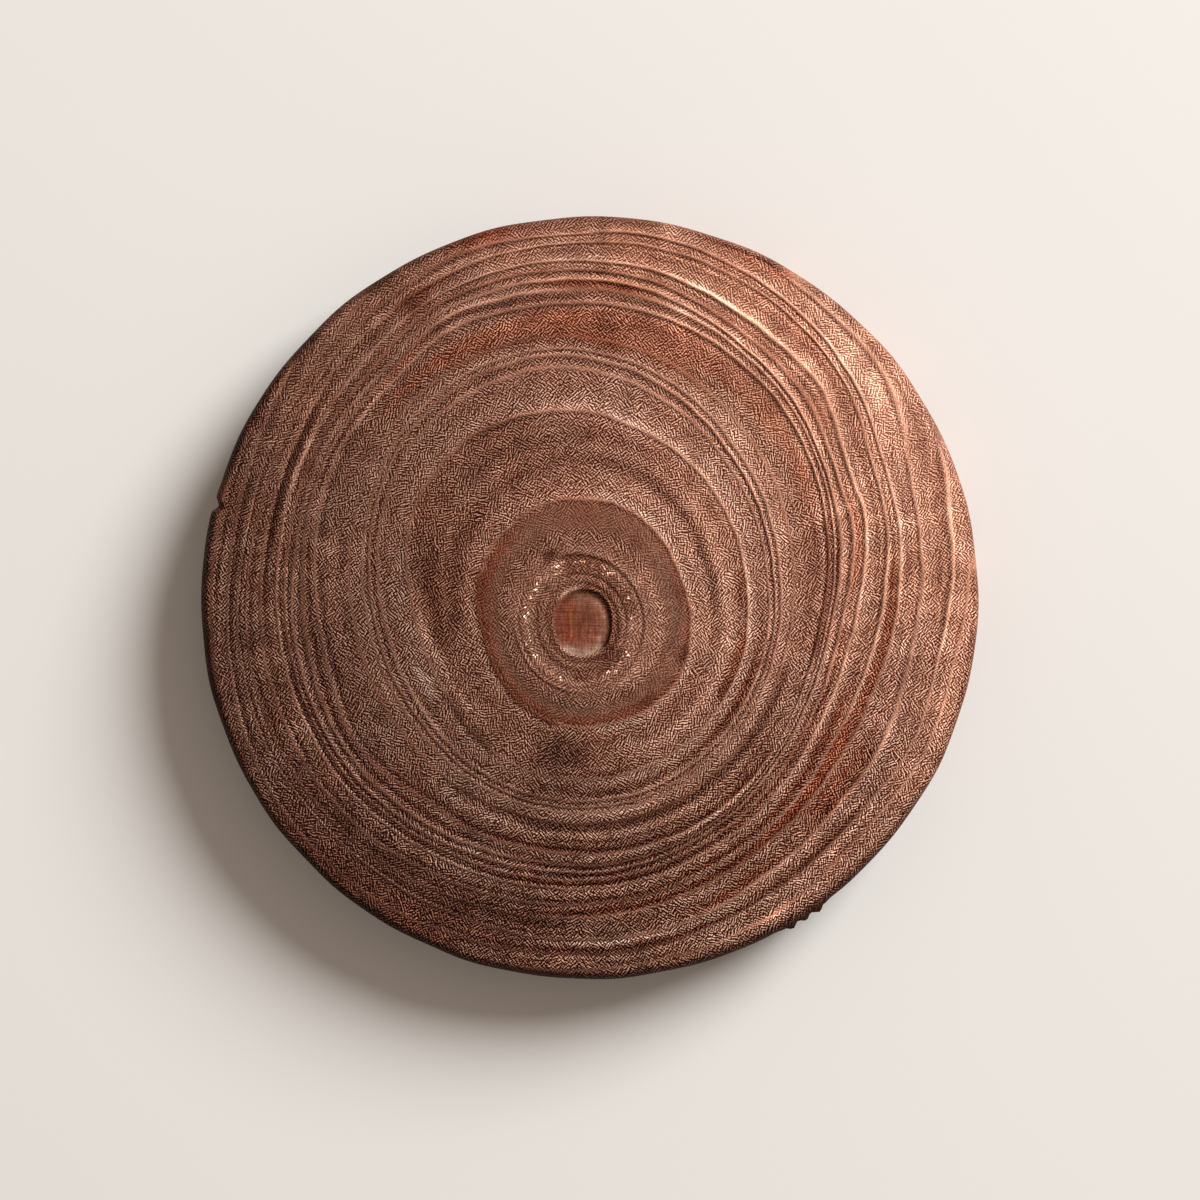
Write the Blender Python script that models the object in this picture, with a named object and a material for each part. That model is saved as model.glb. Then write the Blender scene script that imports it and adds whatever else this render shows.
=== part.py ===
"""A round slice of dark branch wood with a worn, ridged cut face.

Modelled in metres, +Z up, lying on its sawn underside.
The origin is under the middle of the slice, on the surface it lies on.
Lengths below are in millimetres and directions in degrees, counter-clockwise from +X seen from above.
"""
import math

import bpy

MM = 0.001

# Overall size, with the face highest at the pith
THICKNESS = 24.0
FACE_DROP = 3.2

# Rim seen from the pith: mean reach, then swell and direction for one, two and three lobes
RIM_REACH = 98.84
RIM_SWELLS = ((6.59, 74.0), (0.91, 10.0), (0.07, 75.0))
RIM_RIPPLES = ((17, 0.10, 20.0), (29, 0.08, 65.0))

# Growth rings seen from the pith: mean radius, then swell and direction for one to four lobes
GROWTH_RINGS = (
    (0.0, (0.0, 0.0), (0.0, 102.0), (0.0, 0.0), (0.0, -28.0)),
    (7.3, (0.4, 204.0), (0.5, 102.0), (0.1, 22.0), (0.1, -37.0)),
    (16.9, (0.7, 175.0), (0.6, 105.0), (0.1, 10.0), (0.0, -28.0)),
    (28.3, (2.5, 76.0), (1.5, 108.0), (0.3, -16.0), (0.4, -28.0)),
    (45.1, (7.3, 98.0), (3.0, 110.0), (0.9, 6.0), (0.4, -37.0)),
    (54.4, (10.3, 105.0), (3.8, 105.0), (0.8, -12.0), (0.1, 8.0)),
    (67.6, (11.6, 104.0), (2.9, 90.0), (0.6, -55.0), (0.5, 36.0)),
    (72.0, (12.1, 112.0), (3.4, 84.0), (0.9, -45.0), (0.5, 25.0)),
    (76.7, (12.5, 107.0), (3.4, 82.0), (0.6, -50.0), (0.4, 28.0)),
    (81.8, (12.8, 101.0), (3.6, 73.0), (0.9, -50.0), (0.4, 28.0)),
    (84.9, (12.4, 103.0), (3.4, 70.0), (0.9, -43.0), (0.4, 15.0)),
    (90.0, (12.1, 94.0), (4.1, 78.0), (1.0, -41.0), (0.9, 19.0)),
    (94.7, (11.9, 86.0), (3.7, 67.0), (0.7, -24.0), (0.8, 29.0)),
    (120.0, (11.9, 86.0), (3.7, 67.0), (0.7, -24.0), (0.8, 29.0)),
)

# Sunken pith: its wall stands between two ring radii
PITH_FLOOR_RADIUS = 6.7
PITH_WALL_RADIUS = 7.5
PITH_DEPTH = 1.4
PITH_LIP = 0.12

# Terraces: ring radius where the face steps down, and by how much
TERRACES = ((28.6, 0.55), (45.4, 0.45))
TERRACE_RUN = 0.9

# Ridges: ring radius, height, depth of the groove inside it, direction where it stands highest, evenness
RIDGES = (
    (11.4, 0.08, 0.10, 30.0, 0.9),
    (18.0, 0.10, 0.22, 250.0, 0.8),
    (28.3, 0.16, 0.14, 30.0, 0.8),
    (45.1, 0.16, 0.16, 20.0, 0.7),
    (52.0, 0.20, 0.16, 300.0, 0.5),
    (54.4, 0.26, 0.22, 20.0, 0.8),
    (55.7, 0.22, 0.18, 20.0, 0.8),
    (59.0, 0.12, 0.16, 290.0, 0.3),
    (67.8, 0.30, 0.34, 320.0, 0.7),
    (70.4, 0.26, 0.24, 300.0, 0.6),
    (72.2, 0.32, 0.36, 300.0, 0.7),
    (74.4, 0.28, 0.34, 290.0, 0.6),
    (77.0, 0.34, 0.36, 320.0, 0.7),
    (82.0, 0.28, 0.26, 330.0, 0.7),
    (85.2, 0.26, 0.24, 350.0, 0.7),
    (90.0, 0.26, 0.24, 330.0, 0.7),
    (94.7, 0.22, 0.24, 320.0, 0.7),
    (99.0, 0.16, 0.16, 320.0, 0.6),
)
RIDGE_HALF_WIDTH = 0.75
GROOVE_SET_IN = 1.0

# Rim rounded over at the top, near-upright side, saw-cut arris below: inset and height above the surface
RIM_ROUND = 2.4
SIDE_BULGE_HEIGHT = 14.0
SIDE_FOOT_INSET = 0.7
SIDE_FOOT_HEIGHT = 2.2
UNDERSIDE_INSET = 2.0

# Nick in the rim on the left
NICK_DIRECTION = 162.2
NICK_HALF_WIDTH = 1.3
NICK_DEPTH = 1.3

# Scrap of bark left on the side at the lower right
BARK_DIRECTION = -53.0
BARK_HALF_WIDTH = 6.6
BARK_PROUD = 2.0
BARK_TOOTH = 4.4
BARK_BOTTOM = 3.0
BARK_TOP = 18.5

# Mesh: spokes around the pith, with extra ones where the rim has small features
SPOKES = 90
EXTRA_SPOKES = (160.9, 162.2, 163.5, -59.0, -57.0, -55.0, -53.0, -51.0, -49.0, -47.0)
PLAIN_STATIONS = (3.4, 9.0, 14.2, 22.0, 25.6, 33.0, 38.0, 42.0, 49.0, 62.0, 65.0, 79.4, 87.4, 92.2)
CLOSEST_STATIONS = 0.42
RIM_CLEARANCE = 2.7
TIGHTEST_SPACING = 0.32

# Worn reddish-brown wood
WOOD_COLOUR = (0.165, 0.072, 0.045, 1.0)
WOOD_ROUGHNESS = 0.62


def swell(swells, direction):
    """Reach added in a direction by the one, two and three lobed swells."""
    total = 0.0
    for lobes, (amount, towards) in enumerate(swells, start=1):
        total += amount * math.cos(lobes * (direction - math.radians(towards)))
    return total


def rim_reach(direction):
    """Distance from the pith to the widest part of the side."""
    reach = RIM_REACH + swell(RIM_SWELLS, direction)
    for lobes, amount, towards in RIM_RIPPLES:
        reach += amount * math.cos(lobes * (direction - math.radians(towards)))
    return reach


def ring_reach(ring, direction):
    """Distance from the pith to the growth ring of a given mean radius."""
    for inner, outer in zip(GROWTH_RINGS, GROWTH_RINGS[1:]):
        if ring <= outer[0]:
            break
    share = (ring - inner[0]) / (outer[0] - inner[0])
    inner_swell = swell(inner[1:], direction)
    outer_swell = swell(outer[1:], direction)
    return ring + (1.0 - share) * inner_swell + share * outer_swell


def smooth_step(value):
    """Ease from 0 to 1 as the value goes from 0 to 1."""
    value = min(1.0, max(0.0, value))
    return value * value * (3.0 - 2.0 * value)


def hump(offset, half_width):
    """A rounded hump of height 1, gone beyond its half width."""
    if abs(offset) >= half_width:
        return 0.0
    return 0.5 + 0.5 * math.cos(math.pi * offset / half_width)


def face_height(ring, direction, relief=1.0):
    """Height of the cut face above the surface the slice lies on, with its ridges scaled by the relief."""
    height = THICKNESS - FACE_DROP * (ring / RIM_REACH) ** 2
    for radius, drop in TERRACES:
        height -= drop * smooth_step((ring - radius) / TERRACE_RUN)
    for radius, crest, groove, towards, evenness in RIDGES:
        facing = 0.5 + 0.5 * math.cos(direction - math.radians(towards))
        strength = relief * (evenness + (1.0 - evenness) * facing)
        height += strength * crest * hump(ring - radius, RIDGE_HALF_WIDTH)
        height -= strength * groove * hump(ring - radius + GROOVE_SET_IN, RIDGE_HALF_WIDTH)
    wall = smooth_step((ring - PITH_FLOOR_RADIUS) / (PITH_WALL_RADIUS - PITH_FLOOR_RADIUS))
    height -= PITH_DEPTH * (1.0 - wall)
    height += PITH_LIP * hump(ring - PITH_WALL_RADIUS, RIDGE_HALF_WIDTH)
    return height


def nick_depth(direction):
    """How far the nick bites into the rim."""
    offset = math.degrees(direction) - NICK_DIRECTION
    offset = (offset + 180.0) % 360.0 - 180.0
    return NICK_DEPTH * hump(offset, NICK_HALF_WIDTH)


def bark_proud(direction, height):
    """How far the ragged scrap of bark stands out of the side."""
    offset = math.degrees(direction) - BARK_DIRECTION
    offset = (offset + 180.0) % 360.0 - 180.0
    if abs(offset) >= BARK_HALF_WIDTH or not BARK_BOTTOM < height < BARK_TOP:
        return 0.0
    body = smooth_step((BARK_HALF_WIDTH - abs(offset)) / 2.0)
    teeth = 0.65 + 0.35 * math.cos(2.0 * math.pi * offset / BARK_TOOTH)
    return BARK_PROUD * body * teeth


def ring_stations():
    """Ring radii of the mesh lines: both sides and the top of each ridge, the pith wall and plain rings."""
    wanted = [PITH_FLOOR_RADIUS - 0.6, PITH_FLOOR_RADIUS, PITH_WALL_RADIUS, PITH_WALL_RADIUS + 0.6]
    wanted += list(PLAIN_STATIONS)
    for radius, drop in TERRACES:
        wanted.append(radius + TERRACE_RUN)
    for ridge in RIDGES:
        wanted.append(ridge[0] - GROOVE_SET_IN)
        wanted.append(ridge[0])
    wanted.sort()
    stations = [wanted[0]]
    for ring in wanted[1:]:
        if ring - stations[-1] >= CLOSEST_STATIONS:
            stations.append(ring)
    return stations


def spoke_directions():
    """Directions of the mesh spokes in radians, all within one turn."""
    degrees = [360.0 * index / SPOKES for index in range(SPOKES)]
    for extra in EXTRA_SPOKES:
        extra %= 360.0
        degrees = [value for value in degrees if abs(value - extra) > 0.9]
        degrees.append(extra)
    degrees.sort()
    return [math.radians(value) for value in degrees]


def face_row(stations, direction):
    """Reach and height of every face station along one spoke; rings that run out at the rim are crowded up."""
    reaches = [ring_reach(ring, direction) for ring in stations]
    limit = rim_reach(direction) - RIM_CLEARANCE
    for place in range(len(stations) - 1, -1, -1):
        reaches[place] = min(reaches[place], limit)
        if place > 0:
            limit = reaches[place] - TIGHTEST_SPACING * (stations[place] - stations[place - 1])
    row = []
    for place, ring in enumerate(stations):
        before = max(place - 1, 0)
        after = min(place + 1, len(stations) - 1)
        spread = (reaches[after] - reaches[before]) / (stations[after] - stations[before])
        relief = smooth_step((spread - TIGHTEST_SPACING) / (0.8 - TIGHTEST_SPACING))
        row.append((reaches[place], face_height(ring, direction, relief)))
    return row


def side_rows(direction, edge_height):
    """Rows down the side as pairs of reach and height, from the top of the rounding to the underside."""
    rim = rim_reach(direction) - nick_depth(direction)
    rows = [
        (rim - RIM_ROUND, edge_height - 0.12 * RIM_ROUND),
        (rim - 0.40 * RIM_ROUND, edge_height - 0.50 * RIM_ROUND),
        (rim - 0.08 * RIM_ROUND, edge_height - 1.10 * RIM_ROUND),
        (rim, SIDE_BULGE_HEIGHT),
        (rim - 0.35 * SIDE_FOOT_INSET, 0.5 * SIDE_BULGE_HEIGHT),
        (rim - SIDE_FOOT_INSET, SIDE_FOOT_HEIGHT),
        (rim - UNDERSIDE_INSET, 0.0),
    ]
    return [(reach + bark_proud(direction, height), height) for reach, height in rows]


def slice_mesh():
    """Vertices in millimetres about the pith, and the faces of the closed slice."""
    stations = ring_stations()
    spokes = spoke_directions()
    count = len(spokes)
    edge_height = face_height(stations[-1], 0.0, 0.0)
    columns = []
    for direction in spokes:
        column = face_row(stations, direction) + side_rows(direction, edge_height)
        columns.append(column)
    rows = len(columns[0])
    vertices = [(0.0, 0.0, face_height(0.0, 0.0))]
    for row in range(rows):
        for direction, column in zip(spokes, columns):
            reach, height = column[row]
            vertices.append((reach * math.cos(direction), reach * math.sin(direction), height))
    vertices.append((0.0, 0.0, 0.0))

    faces = []
    for index in range(count):
        faces.append((0, 1 + index, 1 + (index + 1) % count))
    for row in range(rows - 1):
        start = 1 + row * count
        for index in range(count):
            after = (index + 1) % count
            faces.append((start + index, start + count + index, start + count + after, start + after))
    last = 1 + (rows - 1) * count
    for index in range(count):
        faces.append((len(vertices) - 1, last + (index + 1) % count, last + index))
    return vertices, faces


def wood_material():
    """Satin reddish-brown wood."""
    material = bpy.data.materials.new("wood")
    material.use_nodes = True
    shader = material.node_tree.nodes["Principled BSDF"]
    shader.inputs["Base Color"].default_value = WOOD_COLOUR
    shader.inputs["Roughness"].default_value = WOOD_ROUGHNESS
    shader.inputs["Metallic"].default_value = 0.0
    return material


def build_slice():
    """The one solid, centred over the origin."""
    vertices, faces = slice_mesh()
    middle_x = 0.5 * (min(point[0] for point in vertices) + max(point[0] for point in vertices))
    middle_y = 0.5 * (min(point[1] for point in vertices) + max(point[1] for point in vertices))
    points = [((x - middle_x) * MM, (y - middle_y) * MM, z * MM) for x, y, z in vertices]
    mesh = bpy.data.meshes.new("wood_slice")
    mesh.from_pydata(points, [], faces)
    mesh.validate()
    mesh.shade_smooth()
    mesh.set_sharp_from_angle(angle=math.radians(50.0))
    mesh.materials.append(wood_material())
    wood = bpy.data.objects.new("wood_slice", mesh)
    bpy.context.scene.collection.objects.link(wood)
    return wood


for old in list(bpy.data.objects):
    bpy.data.objects.remove(old, do_unlink=True)
build_slice()
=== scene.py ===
# %% [markdown]
# # A slice of dark branch wood
#
# The object is one thing: a round slice sawn off a branch, about 20 cm across and 24 mm thick.
# Its cut face has been worn and brushed, so the growth rings stand up as low ridges.
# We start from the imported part, which gives the slice its size, and dress it with a finer mesh
# and a wood finish. Lengths are in millimetres until the mesh is written, and directions are in
# degrees, counter-clockwise from +X seen from above.

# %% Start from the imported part
import math

import bpy
import numpy as np
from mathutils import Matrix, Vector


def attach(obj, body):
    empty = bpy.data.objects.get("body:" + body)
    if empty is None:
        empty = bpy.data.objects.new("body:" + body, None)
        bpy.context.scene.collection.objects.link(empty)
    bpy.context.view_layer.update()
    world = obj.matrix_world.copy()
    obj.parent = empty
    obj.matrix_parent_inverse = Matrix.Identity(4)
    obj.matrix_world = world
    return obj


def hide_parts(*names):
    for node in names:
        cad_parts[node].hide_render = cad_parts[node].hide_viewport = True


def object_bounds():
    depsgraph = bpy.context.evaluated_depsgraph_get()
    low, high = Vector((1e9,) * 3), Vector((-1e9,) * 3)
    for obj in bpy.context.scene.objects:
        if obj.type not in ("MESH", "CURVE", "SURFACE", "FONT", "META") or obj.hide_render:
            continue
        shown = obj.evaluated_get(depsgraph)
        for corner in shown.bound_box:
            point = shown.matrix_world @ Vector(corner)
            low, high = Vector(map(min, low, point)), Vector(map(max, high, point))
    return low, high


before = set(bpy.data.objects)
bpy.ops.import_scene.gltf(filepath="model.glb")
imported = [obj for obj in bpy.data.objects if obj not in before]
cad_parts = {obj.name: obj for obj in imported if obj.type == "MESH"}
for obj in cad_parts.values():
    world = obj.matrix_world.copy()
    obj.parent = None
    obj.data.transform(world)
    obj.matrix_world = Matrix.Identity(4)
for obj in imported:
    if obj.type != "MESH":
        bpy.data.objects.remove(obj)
part_box = [[float(value) for value in corner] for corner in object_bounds()]
print("box of the part in metres:", part_box)

# %% [markdown]
# ## The floor, the camera and the light
#
# The slice lies on a pale, plain table and is seen from straight above. A camera with a long lens
# keeps the rim upright. One soft lamp stands to the upper right, a third of the way up the sky,
# and a dim warm sky fills the shadow, so that the shadow falls to the lower left.

# %% Scene settings and a helper for finishes
MM = 0.001
scene = bpy.context.scene
scene.view_settings.view_transform = "Standard"


def plain_material(name):
    """A new material and its Principled shader node."""
    material = bpy.data.materials.new(name)
    material.use_nodes = True
    return material, material.node_tree.nodes["Principled BSDF"]


print("view transform:", scene.view_settings.view_transform)

# %% A pale table under the slice
TABLE_SIZE = 8.0
TABLE_COLOUR = (0.758, 0.760, 0.752, 1.0)
TABLE_ROUGHNESS = 0.9
TABLE_SHINE = 0.2
bpy.ops.mesh.primitive_plane_add(size=TABLE_SIZE, location=(0.0, 0.0, 0.0))
table = bpy.context.object
table.name = "table"
table_finish, table_shader = plain_material("pale_table")
table_shader.inputs["Base Color"].default_value = TABLE_COLOUR
table_shader.inputs["Roughness"].default_value = TABLE_ROUGHNESS
table_shader.inputs["Specular IOR Level"].default_value = TABLE_SHINE
table.data.materials.append(table_finish)
print("table of", TABLE_SIZE, "m")

# %% The camera, straight above
FRAME_WIDTH = 308.5
VIEW_CENTRE = (2.6, -0.6)
RIM_LEVEL = 15.0
LENS = 100.0
SENSOR = 36.0
distance = FRAME_WIDTH * LENS / SENSOR
camera_data = bpy.data.cameras.new("camera")
camera_data.lens = LENS
camera_data.sensor_width = SENSOR
camera = bpy.data.objects.new("camera", camera_data)
camera.location = (VIEW_CENTRE[0] * MM, VIEW_CENTRE[1] * MM, (distance + RIM_LEVEL) * MM)
scene.collection.objects.link(camera)
scene.camera = camera
print("camera", round(distance), "mm above the rim")

# %% One soft lamp and a dim warm sky
LAMP_AZIMUTH = 43.0
LAMP_ELEVATION = 31.0
LAMP_DISTANCE = 4.0
LAMP_WIDTH = 2.2
LAMP_POWER = 256.0
LAMP_COLOUR = (1.0, 0.985, 0.965)
lamp_data = bpy.data.lights.new("lamp", "AREA")
lamp_data.shape = "DISK"
lamp_data.size = LAMP_WIDTH
lamp_data.energy = LAMP_POWER
lamp_data.color = LAMP_COLOUR
lamp = bpy.data.objects.new("lamp", lamp_data)
azimuth = math.radians(LAMP_AZIMUTH)
elevation = math.radians(LAMP_ELEVATION)
lamp.location = (
    LAMP_DISTANCE * math.cos(elevation) * math.cos(azimuth),
    LAMP_DISTANCE * math.cos(elevation) * math.sin(azimuth),
    LAMP_DISTANCE * math.sin(elevation),
)
lamp.rotation_euler = lamp.location.to_track_quat("Z", "Y").to_euler()
scene.collection.objects.link(lamp)

SKY_COLOUR = (1.0, 0.81, 0.67, 1.0)
SKY_STRENGTH = 0.325
world = bpy.data.worlds.new("sky")
scene.world = world
world.use_nodes = True
sky = world.node_tree.nodes["Background"]
sky.inputs["Color"].default_value = SKY_COLOUR
sky.inputs["Strength"].default_value = SKY_STRENGTH
print("lamp at", [round(value, 2) for value in lamp.location])

# %% [markdown]
# ## The growth rings
#
# A tree's rings aren't true circles: each one bulges a little to some side, and the bulge changes
# from the heart to the bark. Here a ring is named by its mean radius, and its reach in a direction
# is that radius plus one to four lobed swells. In between the rings that are written down, the
# swells change evenly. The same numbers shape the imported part.

# %% Rim and growth rings
# Each ring: mean radius, then swell and direction for one to four lobes
THICKNESS = 24.0
FACE_DROP = 3.2
RIM_REACH = 98.84
RIM_SWELLS = ((6.59, 74.0), (0.91, 10.0), (0.07, 75.0))
RIM_RIPPLES = ((17, 0.10, 20.0), (29, 0.08, 65.0))
GROWTH_RINGS = (
    (0.0, (0.0, 0.0), (0.0, 102.0), (0.0, 0.0), (0.0, -28.0)),
    (7.3, (0.4, 204.0), (0.5, 102.0), (0.1, 22.0), (0.1, -37.0)),
    (16.9, (0.7, 175.0), (0.6, 105.0), (0.1, 10.0), (0.0, -28.0)),
    (28.3, (2.5, 76.0), (1.5, 108.0), (0.3, -16.0), (0.4, -28.0)),
    (45.1, (7.3, 98.0), (3.0, 110.0), (0.9, 6.0), (0.4, -37.0)),
    (54.4, (10.3, 105.0), (3.8, 105.0), (0.8, -12.0), (0.1, 8.0)),
    (67.6, (11.6, 104.0), (2.9, 90.0), (0.6, -55.0), (0.5, 36.0)),
    (72.0, (12.1, 112.0), (3.4, 84.0), (0.9, -45.0), (0.5, 25.0)),
    (76.7, (12.5, 107.0), (3.4, 82.0), (0.6, -50.0), (0.4, 28.0)),
    (81.8, (12.8, 101.0), (3.6, 73.0), (0.9, -50.0), (0.4, 28.0)),
    (84.9, (12.4, 103.0), (3.4, 70.0), (0.9, -43.0), (0.4, 15.0)),
    (90.0, (12.1, 94.0), (4.1, 78.0), (1.0, -41.0), (0.9, 19.0)),
    (94.7, (11.9, 86.0), (3.7, 67.0), (0.7, -24.0), (0.8, 29.0)),
    (120.0, (11.9, 86.0), (3.7, 67.0), (0.7, -24.0), (0.8, 29.0)),
)


def swell(swells, direction):
    """Reach added in a direction by the swells of one lobe, two lobes and so on."""
    parts = [amount * np.cos(lobes * (direction - math.radians(towards)))
             for lobes, (amount, towards) in enumerate(swells, start=1)]
    return sum(parts)


def rim_reach(direction):
    """Distance from the pith to the widest part of the side."""
    reach = RIM_REACH + swell(RIM_SWELLS, direction)
    for lobes, amount, towards in RIM_RIPPLES:
        reach = reach + amount * np.cos(lobes * (direction - math.radians(towards)))
    return reach


def ring_reach(ring, direction):
    """Distance from the pith to growth rings; both are arrays, and the last axis is the direction."""
    radii = np.array([row[0] for row in GROWTH_RINGS])
    swells = np.array([swell(row[1:], direction) for row in GROWTH_RINGS])
    ring = np.broadcast_to(ring, np.broadcast_shapes(np.shape(ring), np.shape(direction)))
    place = np.clip(np.searchsorted(radii, ring) - 1, 0, len(radii) - 2)
    share = (ring - radii[place]) / (radii[place + 1] - radii[place])
    spoke = np.broadcast_to(np.arange(len(direction)), ring.shape)
    return ring + (1.0 - share) * swells[place, spoke] + share * swells[place + 1, spoke]


print("ring 45 reaches", np.round(ring_reach(45.0, np.radians([0.0, 90.0, 180.0, 270.0])), 1))

# %% [markdown]
# ## Where the mesh lines go
#
# The mesh is a sheet of spokes and rows. Rows follow the growth rings and lie closer together
# where a ridge runs, because a ridge is only about a millimetre wide. Spokes lie closer together
# at the nick in the rim and at the scrap of bark. To place either, we give a closeness along the
# way, add it up, and cut the sum into equal parts.

# %% Spokes and rows
SPOKES = 300
INNER_ROWS = 178
OUTER_ROWS = 118
INNER_ZONE = 70.0
NICK_DIRECTION = 162.2
BARK_DIRECTION = -53.0
FINE_PLACES = 20001


def smooth_step(value):
    """Ease from 0 to 1 as the value goes from 0 to 1."""
    value = np.clip(value, 0.0, 1.0)
    return value * value * (3.0 - 2.0 * value)


def hump(offset, half_width):
    """A rounded hump of height 1, gone beyond its half width."""
    near = np.clip(np.abs(offset) / half_width, 0.0, 1.0)
    return 0.5 + 0.5 * np.cos(math.pi * near)


def turn_from(direction, towards):
    """Signed angle in degrees from one direction to others."""
    return (np.degrees(direction) - towards + 180.0) % 360.0 - 180.0


def spread_out(count, start, end, closeness):
    """Places from start to end, closer together where the closeness is greater."""
    fine = np.linspace(start, end, FINE_PLACES)
    total = np.concatenate(([0.0], np.cumsum(closeness(0.5 * (fine[1:] + fine[:-1])))))
    return np.interp(np.linspace(0.0, total[-1], count), total, fine)


# Each ridge: ring, height, depth of the groove inside it, direction where it is highest, evenness
RIDGES = (
    (10.6, 0.08, 0.14, 30.0, 0.9),
    (12.8, 0.10, 0.20, 30.0, 0.9),
    (17.2, 0.14, 0.28, 30.0, 0.9),
    (28.1, 0.16, 0.14, 30.0, 0.8),
    (44.9, 0.16, 0.16, 20.0, 0.7),
    (52.0, 0.20, 0.16, 300.0, 0.5),
    (54.1, 0.26, 0.22, 20.0, 0.8),
    (55.7, 0.22, 0.18, 20.0, 0.8),
    (59.0, 0.12, 0.16, 290.0, 0.3),
    (67.8, 0.30, 0.34, 320.0, 0.7),
    (70.4, 0.26, 0.24, 300.0, 0.6),
    (72.2, 0.32, 0.36, 300.0, 0.7),
    (74.4, 0.28, 0.34, 290.0, 0.6),
    (77.0, 0.34, 0.36, 320.0, 0.7),
    (82.0, 0.28, 0.26, 330.0, 0.7),
    (85.2, 0.26, 0.24, 350.0, 0.7),
    (90.0, 0.26, 0.24, 330.0, 0.7),
    (94.7, 0.22, 0.24, 320.0, 0.7),
    (99.0, 0.16, 0.16, 320.0, 0.6),
)
# Where lines lie closer together: how much closer, and over what half width
NICK_CLOSER = (4.0, 4.0)
BARK_CLOSER = (1.6, 12.0)
WALL_CLOSER = (2.5, 1.8)
RIDGE_CLOSER = (1.6, 1.8)
WALL_RING = 8.0
GROOVE_SIDE = 0.4


def spoke_closeness(degrees):
    """More spokes at the nick and at the scrap of bark."""
    turn = np.radians(degrees)
    return (1.0 + NICK_CLOSER[0] * hump(turn_from(turn, NICK_DIRECTION), NICK_CLOSER[1])
            + BARK_CLOSER[0] * hump(turn_from(turn, BARK_DIRECTION), BARK_CLOSER[1]))


def row_closeness(ring):
    """More rows at the wall of the pith and at every ridge."""
    total = 1.0 + WALL_CLOSER[0] * hump(ring - WALL_RING, WALL_CLOSER[1])
    for ridge in RIDGES:
        total = total + RIDGE_CLOSER[0] * hump(ring - ridge[0] + GROOVE_SIDE, RIDGE_CLOSER[1])
    return total


directions = np.radians(spread_out(SPOKES + 1, 0.0, 360.0, spoke_closeness))
inner_rings = spread_out(INNER_ROWS, 0.0, INNER_ZONE, row_closeness)
print(SPOKES, "spokes,", INNER_ROWS + OUTER_ROWS, "rows on the face")

# %% The ring and the reach of every point on the face
RIM_ROUND = 2.4
NICK_HALF_WIDTH = 1.3
NICK_DEPTH = 1.3
LAST_RING = 119.0
RINGS_TRIED = 1191

nick = NICK_DEPTH * hump(turn_from(directions, NICK_DIRECTION), NICK_HALF_WIDTH)
rim = rim_reach(directions) - nick
edge_reach = rim - RIM_ROUND
many_rings = np.linspace(0.0, LAST_RING, RINGS_TRIED)
many_reaches = ring_reach(many_rings[:, None], directions)
edge_ring = np.array([
    np.interp(edge_reach[spoke], many_reaches[:, spoke], many_rings) for spoke in range(len(directions))
])
outward = np.linspace(0.0, 1.0, OUTER_ROWS + 1)[1:, None]
outer_rings = INNER_ZONE + outward * (edge_ring[None, :] - INNER_ZONE)
face_rings = np.vstack([np.broadcast_to(inner_rings[:, None], (INNER_ROWS, len(directions))), outer_rings])
face_reach = ring_reach(face_rings, directions)
print("rings at the rim run from", round(edge_ring.min(), 1), "to", round(edge_ring.max(), 1))

# %% [markdown]
# ## The relief of the cut face
#
# The face is a very low dome with two steps down, at the rings where soft and hard wood meet.
# Each ridge is a rounded hump with a groove just inside it. The lines wander as they go round, so
# small waves shift them by a few tenths of a millimetre, and single bends by up to a millimetre
# and a half. The pith has shrunk into a hollow. All of it is one sum of heights, so that any ridge
# can be changed by its own row of numbers.

# %% Height of the face
TERRACES = ((28.6, 0.20), (45.4, 0.18))
TERRACE_RUN = 0.7
PITH_FLOOR_RADIUS = 7.5
PITH_WALL_RADIUS = 8.3
PITH_SQUASH = 0.07
PITH_CORNERS = 0.02
PITH_DEPTH = 0.95
PITH_LIP = 0.12
RIDGE_HALF_WIDTH = 0.62
GROOVE_SET_IN = 0.9
RIM_FADE = 2.0
WANDER_START = 8.0
WANDER_RUN = 20.0
WANDER_PHASE = 1.7
BEND_REACH = 1.5
BEND_TURN = 1.4
# Each wave: how many go round, how far they reach, and how they twist from ring to ring
WANDER = (
    (7, 0.10, 0.11), (11, 0.09, -0.17), (19, 0.07, 0.26),
    (31, 0.06, -0.31), (47, 0.05, 0.4), (71, 0.05, -0.6),
)
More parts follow.
